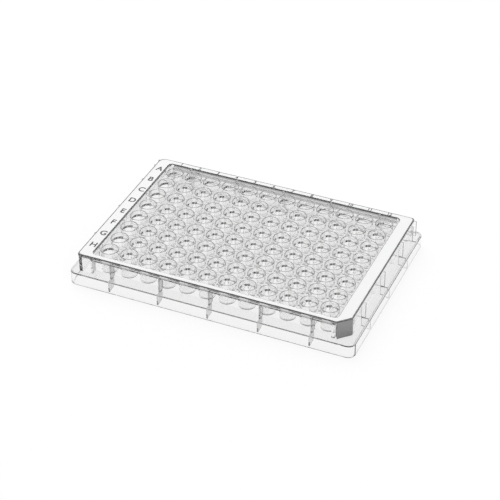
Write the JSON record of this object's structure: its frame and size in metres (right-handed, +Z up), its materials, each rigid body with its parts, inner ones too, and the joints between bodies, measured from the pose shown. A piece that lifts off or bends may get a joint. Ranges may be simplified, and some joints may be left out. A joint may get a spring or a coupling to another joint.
{
  "type": "well plate",
  "caption": "Clear plastic microplate for laboratory assays: a skirted tray with a grid of flat-bottomed wells in a raised, marked frame.",
  "frame": {"origin": "on the bench, under the middle of the skirt's footprint", "axes": "+X along the long side from column 1 to column 12, +Y across to row A, +Z up out of the wells"},
  "size_m": [0.1278, 0.0854, 0.0144],
  "materials": {
    "clear_plastic": "clear, glossy polystyrene with a white printed frame"
  },
  "bodies": {
    "root": {"plate": "clear_plastic"}
  },
  "joints": []
}
